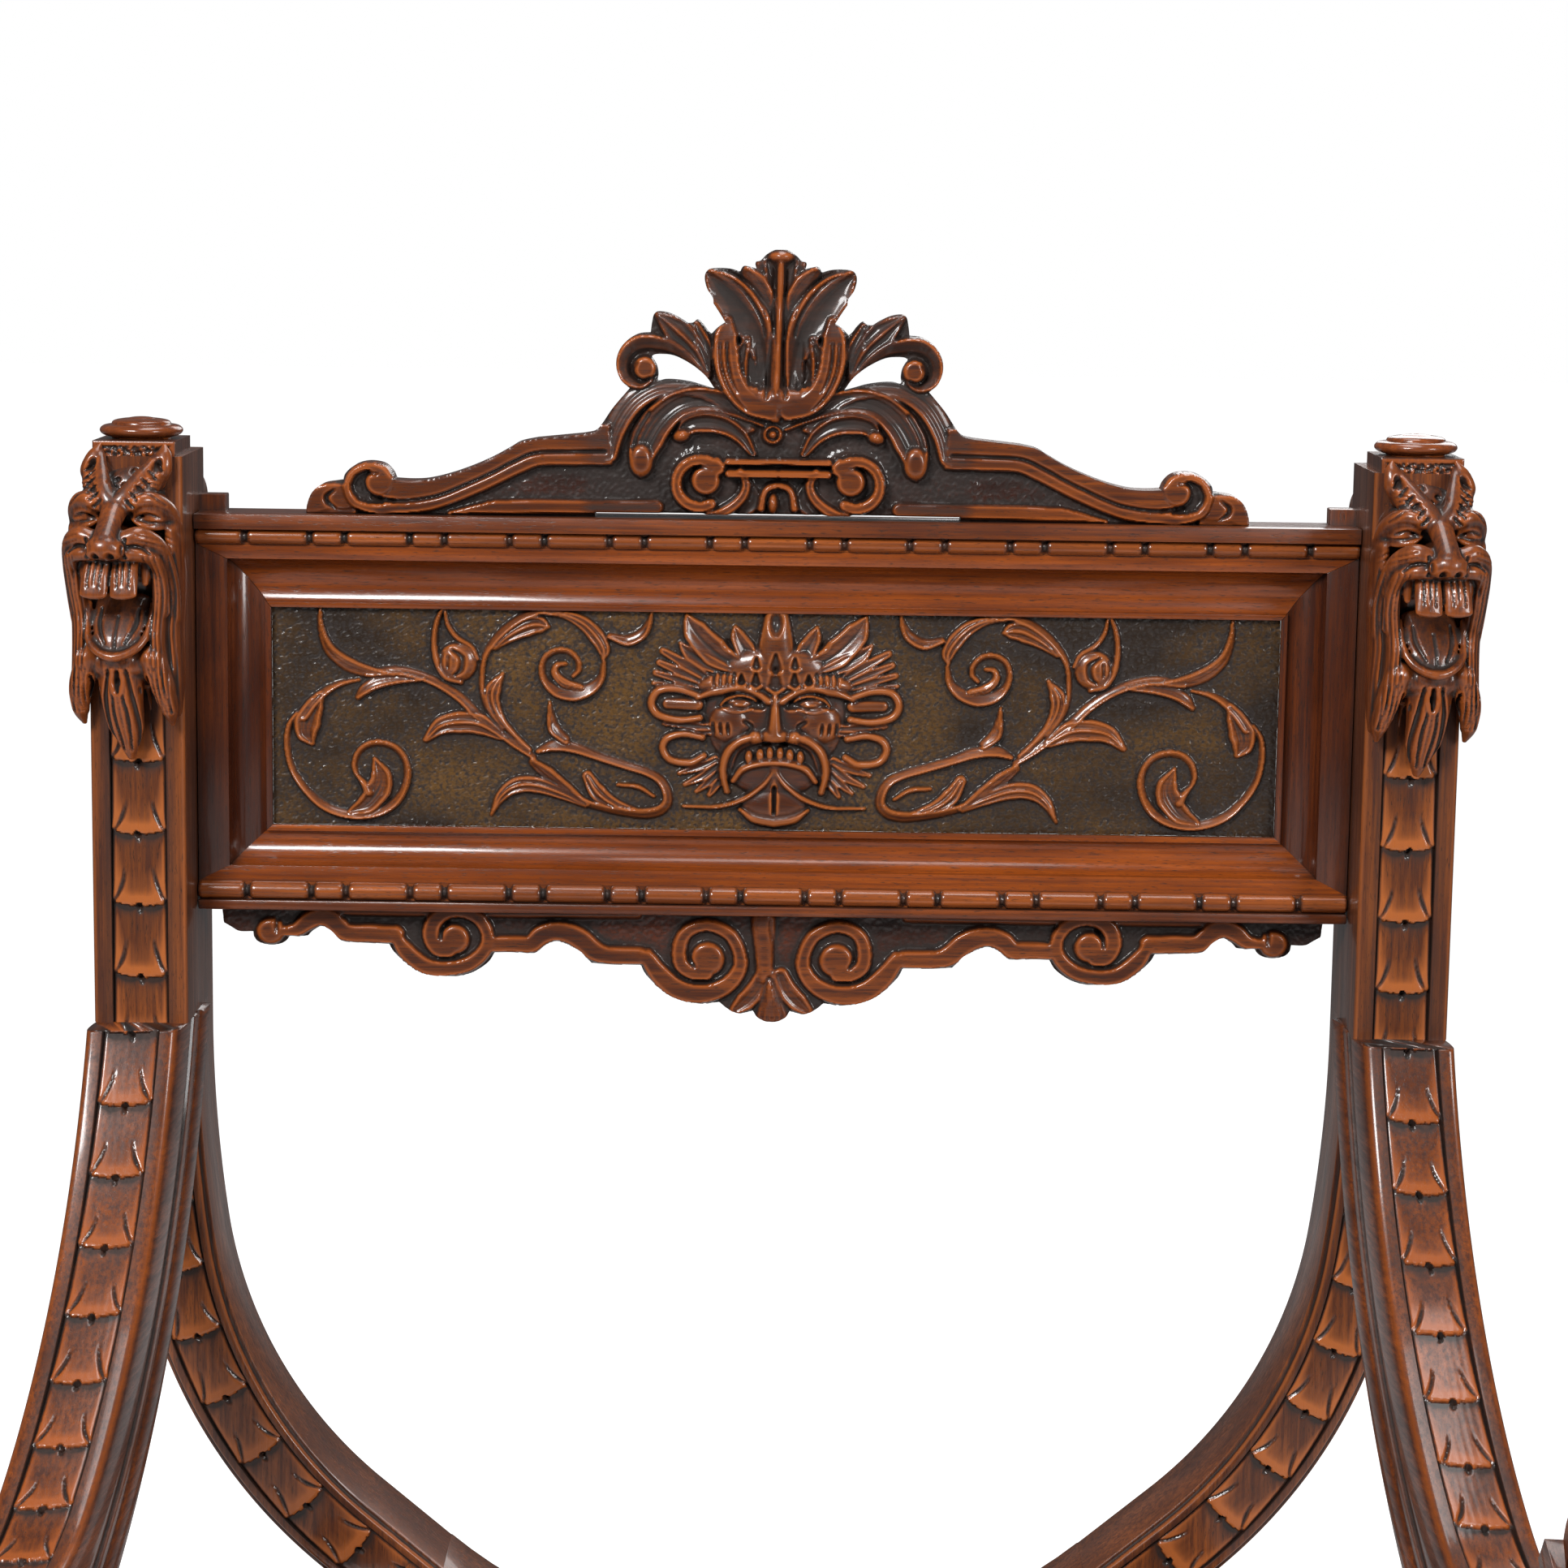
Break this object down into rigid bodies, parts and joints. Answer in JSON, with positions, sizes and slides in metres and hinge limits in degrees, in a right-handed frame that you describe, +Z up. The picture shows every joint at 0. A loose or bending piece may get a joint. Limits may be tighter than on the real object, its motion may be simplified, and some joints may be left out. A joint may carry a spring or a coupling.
{
  "type": "x-frame armchair",
  "caption": "Carved walnut X-frame armchair of the Dante kind: scaled S-bars, swept arms with beast heads, and a carved back panel that lifts out between its posts.",
  "frame": {"origin": "on the floor under the middle of the chair", "axes": "+Z up, +X to the right of someone facing the chair, the chair's front faces -Y"},
  "size_m": [0.6724, 0.5424, 1.0431],
  "materials": {
    "carved_walnut": "french polished, darkened in the carving",
    "plain_walnut": "french polished",
    "mouldings_walnut": "french polished",
    "field_walnut": "stippled, olive-brown stain"
  },
  "bodies": {
    "frame": {"rear_left_bar": "carved_walnut", "rear_right_bar": "carved_walnut", "front_left_bar": "carved_walnut", "front_right_bar": "carved_walnut", "left_arm": "carved_walnut", "right_arm": "carved_walnut", "left_arm_head": "carved_walnut", "right_arm_head": "carved_walnut", "left_finial": "carved_walnut", "right_finial": "carved_walnut", "front_rosette": "carved_walnut", "rear_rosette": "carved_walnut", "left_foot_rail": "plain_walnut", "right_foot_rail": "plain_walnut", "left_seat_rail": "plain_walnut", "right_seat_rail": "plain_walnut", "crossing_stretcher": "plain_walnut", "front_seat_rail": "plain_walnut", "rear_seat_rail": "plain_walnut", "seat_board_1": "plain_walnut", "seat_board_2": "plain_walnut", "seat_board_3": "plain_walnut", "seat_board_4": "plain_walnut", "seat_pegs": "plain_walnut", "arm_dowels": "plain_walnut", "post_dowels": "plain_walnut"},
    "back": {"frame_top_rail": "mouldings_walnut", "frame_bottom_rail": "mouldings_walnut", "frame_left_stile": "mouldings_walnut", "frame_right_stile": "mouldings_walnut", "field_board": "field_walnut", "bottom_bead": "mouldings_walnut", "top_bead": "mouldings_walnut", "base_fillet": "mouldings_walnut", "top_fascia": "mouldings_walnut", "crest": "carved_walnut", "apron": "carved_walnut", "crest_dowels": "plain_walnut", "left_tongue": "plain_walnut", "right_tongue": "plain_walnut"}
  },
  "joints": [
    {"name": "back_lift", "type": "slide", "parent": "frame", "child": "back", "axis": [0, 0, 1], "range_m": [0, 0.26]}
  ]
}
